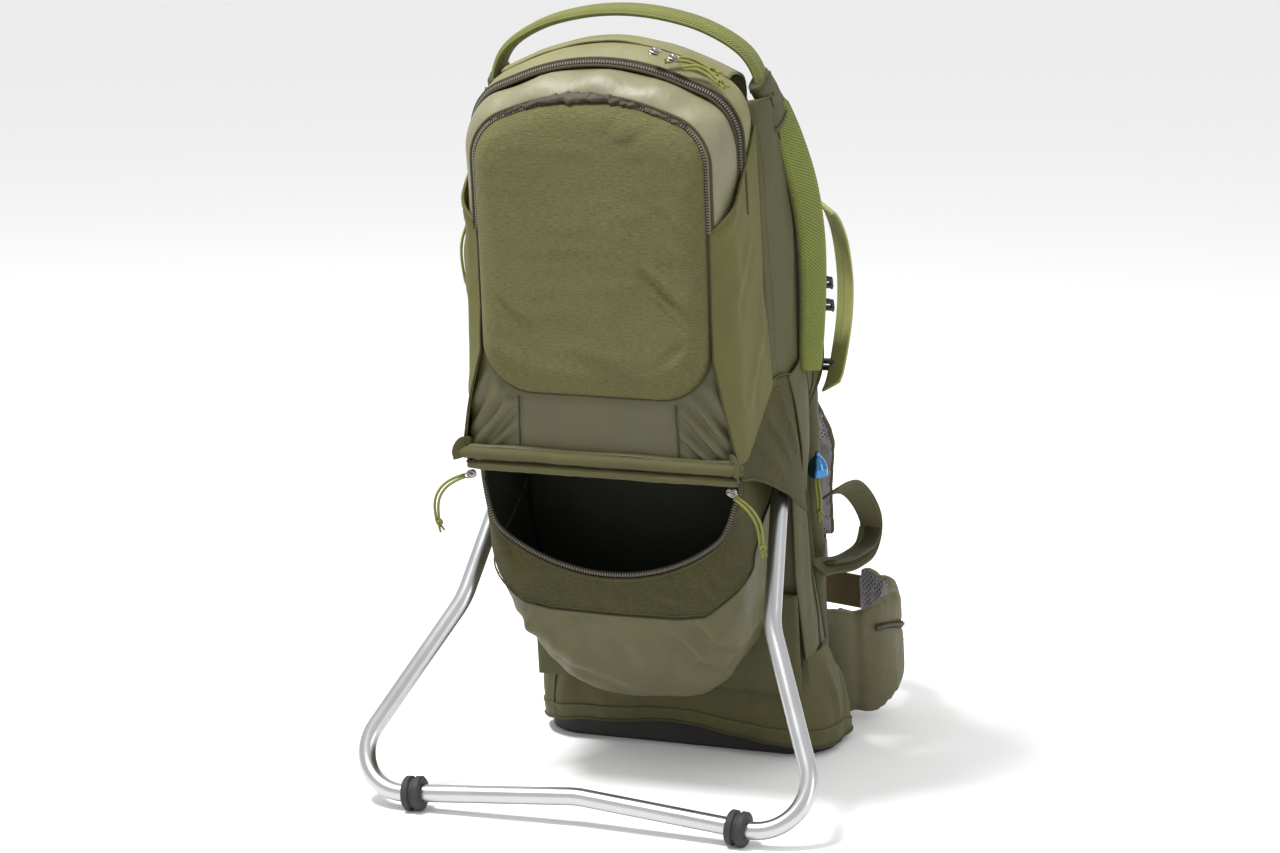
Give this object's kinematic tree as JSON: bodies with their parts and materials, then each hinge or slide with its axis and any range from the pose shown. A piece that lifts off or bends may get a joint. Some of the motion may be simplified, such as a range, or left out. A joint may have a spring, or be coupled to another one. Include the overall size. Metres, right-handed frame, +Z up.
{
  "type": "child carrier backpack",
  "caption": "Framed child carrier backpack with a fold-out kickstand, storage bags, open cockpit, padded harness and lift handles.",
  "frame": {"origin": "on the floor, on the flat underside of the base boot, in the middle plane", "axes": "+Z up; -Y towards the storage side and the kickstand's feet; +Y towards the wearer's harness; X across the pack"},
  "size_m": [0.4302, 0.5723, 0.7194],
  "materials": {
    "aluminium_tube": "satin anodised",
    "steel": "satin",
    "black_plastic": "moulded, fine texture",
    "sheet_plastic": "smooth",
    "button_plastic": "moulded",
    "black_rubber": "matt",
    "boot_plastic": "moulded",
    "olive_fabric": "plain weave nylon",
    "olive_ripstop": "ripstop nylon",
    "olive_webbing": "woven tape",
    "golden_webbing": "woven tape",
    "lime_webbing": "woven tape",
    "lime_padding": "twill over foam",
    "grey_mesh": "air mesh over foam",
    "zip_tape": "woven tape and coil",
    "cord": "braided cord",
    "slider_metal": "polished",
    "blue_metal": "blue anodised"
  },
  "bodies": {
    "frame": {"main_frame_tube": "aluminium_tube", "cockpit_frame_tubes": "aluminium_tube", "pivot_hubs": "black_plastic", "pivot_pins": "steel", "deploy_springs": "steel", "frame_rivets": "steel", "base_boot": "boot_plastic", "skirt": "olive_fabric", "framesheet": "sheet_plastic", "back_panel_pad": "grey_mesh", "lumbar_pad": "grey_mesh", "yoke_rail": "black_plastic", "storage_rear": "olive_fabric", "storage_front": "olive_fabric", "front_pocket": "olive_ripstop", "pocket_band": "olive_fabric", "bumper_roll": "olive_fabric", "lower_pocket": "olive_fabric", "zip_tapes": "zip_tape", "side_panel_left": "olive_fabric", "side_panel_right": "olive_fabric", "drool_pad": "grey_mesh", "strap_webbing": "golden_webbing", "bell_toggle": "blue_metal", "toggle_cord": "cord"},
    "kickstand": {"kickstand_tube": "aluminium_tube", "kickstand_lugs": "aluminium_tube", "kickstand_feet": "black_rubber"},
    "lock_left": {"lock_button_left": "button_plastic"},
    "lock_right": {"lock_button_right": "button_plastic"},
    "yoke": {"yoke_slider": "black_plastic", "yoke_pad": "olive_fabric", "shoulder_strap_left": "grey_mesh", "shoulder_strap_right": "grey_mesh", "ladder_locks": "black_plastic"},
    "sternum_left": {"sternum_strap_left": "olive_webbing"},
    "sternum_right": {"sternum_strap_right": "olive_webbing"},
    "hip_left": {"hip_wing_left": "olive_fabric", "hip_buckle_socket": "black_plastic"},
    "hip_right": {"hip_wing_right": "olive_fabric", "hip_buckle_plug": "black_plastic"},
    "top_handle": {"top_handle": "lime_padding"},
    "grip_left": {"side_grip_left": "lime_padding"},
    "grip_right": {"side_grip_right": "lime_padding"},
    "lift_left": {"lift_handle_left": "lime_webbing"},
    "lift_right": {"lift_handle_right": "lime_webbing"},
    "stirrup_left": {"stirrup_left": "olive_webbing"},
    "stirrup_right": {"stirrup_right": "olive_webbing"},
    "seat": {"child_seat": "grey_mesh", "seat_harness": "olive_webbing", "harness_buckle": "black_plastic"},
    "main_slider": {"main_zip_slider": "slider_metal", "main_zip_cord": "cord"},
    "top_sliders": {"top_zip_sliders": "slider_metal", "top_zip_cord_outer": "cord", "top_zip_cord_inner": "cord"},
    "lower_slider_left": {"lower_zip_slider_left": "slider_metal", "lower_zip_cord_left": "cord"},
    "lower_slider_right": {"lower_zip_slider_right": "slider_metal", "lower_zip_cord_right": "cord"}
  },
  "joints": [
    {"name": "kickstand_fold", "type": "hinge", "parent": "frame", "child": "kickstand", "pos_m": [0, -0.15548, 0.30679], "axis": [1, 0, 0], "range_deg": [0, 38]},
    {"name": "lock_press_left", "type": "slide", "parent": "frame", "child": "lock_left", "axis": [1, 0, 0], "range_m": [0, 0.003], "stiffness_N_per_m": 400, "springref_m": -0.001},
    {"name": "lock_press_right", "type": "slide", "parent": "frame", "child": "lock_right", "axis": [-1, 0, 0], "range_m": [0, 0.003], "stiffness_N_per_m": 400, "springref_m": -0.001},
    {"name": "yoke_slide", "type": "slide", "parent": "frame", "child": "yoke", "axis": [0, -0.1736, 0.9848], "range_m": [0, 0.06]},
    {"name": "sternum_slide_left", "type": "slide", "parent": "yoke", "child": "sternum_left", "axis": [0, 0.651, -0.7591], "range_m": [0, 0.03]},
    {"name": "sternum_slide_right", "type": "slide", "parent": "yoke", "child": "sternum_right", "axis": [0, 0.651, -0.7591], "range_m": [0, 0.03]},
    {"name": "hip_wing_left", "type": "hinge", "parent": "frame", "child": "hip_left", "pos_m": [-0.096, 0.04102, 0.07831], "axis": [0, -0.1736, 0.9848], "range_deg": [0, 15]},
    {"name": "hip_wing_right", "type": "hinge", "parent": "frame", "child": "hip_right", "pos_m": [0.096, 0.04102, 0.07831], "axis": [0, 0.1736, -0.9848], "range_deg": [0, 15]},
    {"name": "top_handle_swing", "type": "hinge", "parent": "frame", "child": "top_handle", "pos_m": [0, -0.2121, 0.63278], "axis": [1, 0, 0], "range_deg": [-25, 20]},
    {"name": "grip_pull_left", "type": "hinge", "parent": "frame", "child": "grip_left", "pos_m": [-0.134, -0.17858, 0.4945], "axis": [0, -0.1736, 0.9848], "range_deg": [0, 25]},
    {"name": "grip_pull_right", "type": "hinge", "parent": "frame", "child": "grip_right", "pos_m": [0.134, -0.17858, 0.4945], "axis": [0, 0.1736, -0.9848], "range_deg": [0, 25]},
    {"name": "lift_handle_swing_left", "type": "hinge", "parent": "frame", "child": "lift_left", "pos_m": [-0.134, -0.08272, 0.44033], "axis": [0, -0.1736, 0.9848], "range_deg": [0, 40]},
    {"name": "lift_handle_swing_right", "type": "hinge", "parent": "frame", "child": "lift_right", "pos_m": [0.134, -0.08272, 0.44033], "axis": [0, 0.1736, -0.9848], "range_deg": [0, 40]},
    {"name": "stirrup_swing_left", "type": "hinge", "parent": "frame", "child": "stirrup_left", "pos_m": [-0.134, -0.0711, 0.2535], "axis": [0, -0.4762, 0.8794], "range_deg": [0, 30]},
    {"name": "stirrup_swing_right", "type": "hinge", "parent": "frame", "child": "stirrup_right", "pos_m": [0.134, -0.0711, 0.2535], "axis": [0, 0.4762, -0.8794], "range_deg": [0, 30]},
    {"name": "seat_slide", "type": "slide", "parent": "frame", "child": "seat", "axis": [0, -0.1736, 0.9848], "range_m": [0, 0.06]},
    {"name": "main_zip_slide", "type": "slide", "parent": "frame", "child": "main_slider", "axis": [0, -0.1736, 0.9848], "range_m": [-0.12, 0.03]},
    {"name": "top_zip_slide", "type": "slide", "parent": "frame", "child": "top_sliders", "axis": [0.9357, 0.0613, -0.3474], "range_m": [-0.025, 0.01]},
    {"name": "lower_zip_slide_left", "type": "slide", "parent": "frame", "child": "lower_slider_left", "axis": [1, 0, 0], "range_m": [0, 0.11]},
    {"name": "lower_zip_slide_right", "type": "slide", "parent": "frame", "child": "lower_slider_right", "axis": [-1, 0, 0], "range_m": [0, 0.11]}
  ],
  "couplings": [
    {"joint": "sternum_slide_right", "follows": "sternum_slide_left", "ratio": 1}
  ]
}
